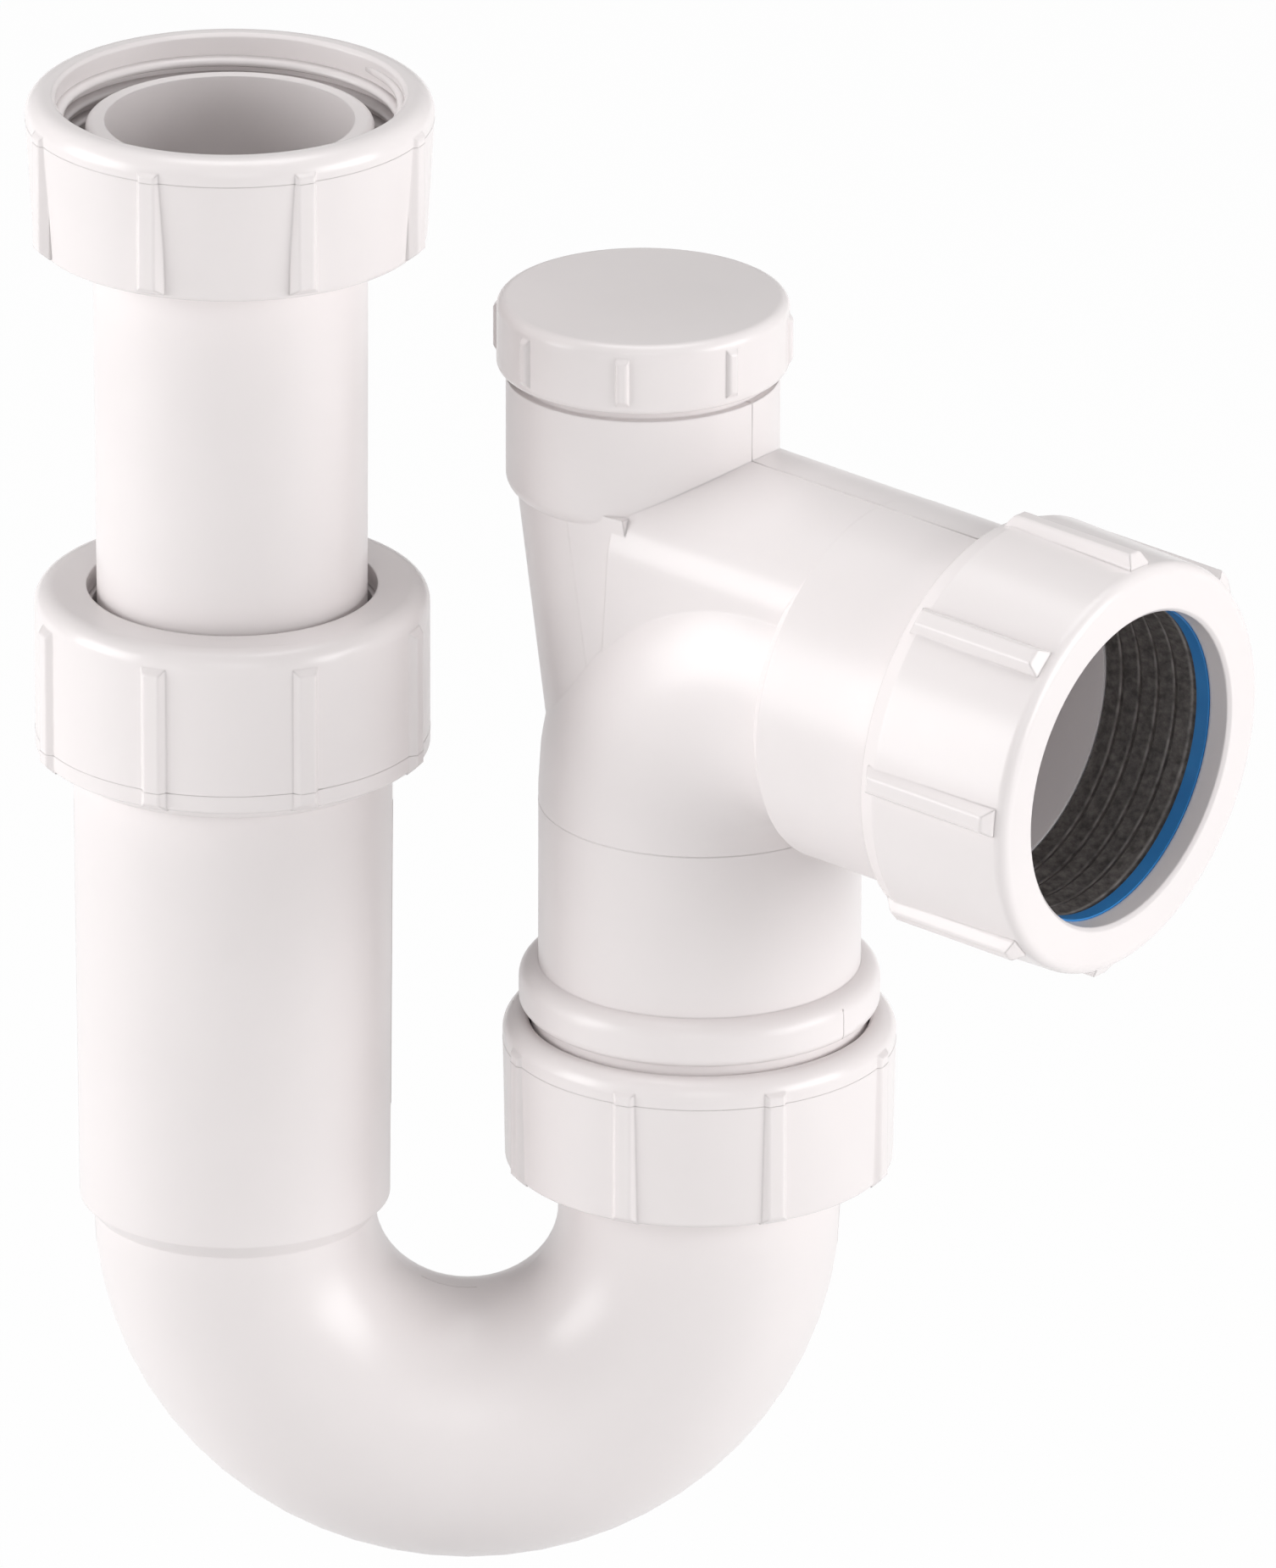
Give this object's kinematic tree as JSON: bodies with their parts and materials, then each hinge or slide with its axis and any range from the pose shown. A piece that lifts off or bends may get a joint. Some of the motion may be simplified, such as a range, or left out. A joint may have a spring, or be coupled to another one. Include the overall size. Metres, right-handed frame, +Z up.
{
  "type": "anti-siphon p-trap",
  "caption": "White plastic P-trap with a telescopic inlet, U-bend, swivelling outlet elbow with a compression socket, and a capped anti-siphon valve chamber.",
  "frame": {"origin": "on the inlet axis, at the top of the inlet washer, where the tail of a waste seats", "axes": "+Z up along the inlet, +X from the inlet leg to the riser; the U-bend lies in the XZ plane, and the outlet leaves the riser towards +X and -Y with a small fall"},
  "size_m": [0.1685, 0.0962, 0.2164],
  "materials": {
    "white_body": "satin moulded polypropylene",
    "white_nut": "satin moulded polypropylene",
    "black_rubber": "matt",
    "grey_washer": "matt",
    "blue_ring": "satin"
  },
  "bodies": {
    "inlet": {"inlet_tube": "white_body", "inlet_washer": "grey_washer"},
    "swivel_nut": {"inlet_nut": "white_nut"},
    "trap": {"trap_body": "white_body", "slip_seal": "black_rubber", "union_washer": "grey_washer"},
    "leg_ring": {"slip_washer": "white_body"},
    "leg_nut": {"slip_nut": "white_nut"},
    "joining_nut": {"union_nut": "white_nut"},
    "elbow": {"outlet_elbow": "white_body", "valve_seat": "white_body", "outlet_seal": "black_rubber"},
    "blue_ring": {"outlet_slip_ring": "blue_ring"},
    "pipe_nut": {"outlet_nut": "white_nut"},
    "gasket": {"cap_seal": "grey_washer"},
    "cap": {"valve_cap": "white_nut"},
    "diaphragm": {"valve_diaphragm": "black_rubber"}
  },
  "joints": [
    {"name": "inlet_nut_turn", "type": "hinge", "parent": "inlet", "child": "swivel_nut", "pos_m": [0, 0, 0], "axis": [0, 0, 1], "continuous": true},
    {"name": "trap_slide", "type": "slide", "parent": "inlet", "child": "trap", "axis": [0, 0, 1], "range_m": [-0.024, 0.035]},
    {"name": "leg_ring_rise", "type": "slide", "parent": "trap", "child": "leg_ring", "axis": [0, 0, 1], "range_m": [0, 0.006]},
    {"name": "leg_nut_turn", "type": "hinge", "parent": "leg_ring", "child": "leg_nut", "pos_m": [0, 0, -0.072], "axis": [0, 0, 1], "range_deg": [0, 720]},
    {"name": "union_nut_turn", "type": "hinge", "parent": "trap", "child": "joining_nut", "pos_m": [0.0646, 0, -0.134], "axis": [0, 0, 1], "continuous": true},
    {"name": "elbow_swivel", "type": "hinge", "parent": "trap", "child": "elbow", "pos_m": [0.0646, 0, -0.1365], "axis": [0, 0, 1], "range_deg": [-70, 145]},
    {"name": "blue_ring_run", "type": "slide", "parent": "elbow", "child": "blue_ring", "axis": [0.7919, -0.6076, -0.061], "range_m": [0, 0.006]},
    {"name": "outlet_nut_turn", "type": "hinge", "parent": "blue_ring", "child": "pipe_nut", "pos_m": [0.1137, -0.03767, -0.06899], "axis": [0.7919, -0.6076, -0.061], "range_deg": [0, 720]},
    {"name": "gasket_rise", "type": "slide", "parent": "elbow", "child": "gasket", "axis": [0, 0, 1], "range_m": [0, 0.00375]},
    {"name": "cap_turn", "type": "hinge", "parent": "gasket", "child": "cap", "pos_m": [0.05659, 0.00615, -0.0251], "axis": [0, 0, 1], "range_deg": [0, 540]},
    {"name": "diaphragm_lift", "type": "slide", "parent": "elbow", "child": "diaphragm", "axis": [0, 0, 1], "range_m": [0, 0.002]}
  ],
  "couplings": [
    {"joint": "leg_ring_rise", "follows": "leg_nut_turn", "m_per_rad": 0.00047746},
    {"joint": "blue_ring_run", "follows": "outlet_nut_turn", "m_per_rad": 0.00047746},
    {"joint": "gasket_rise", "follows": "cap_turn", "m_per_rad": 0.00039789}
  ]
}
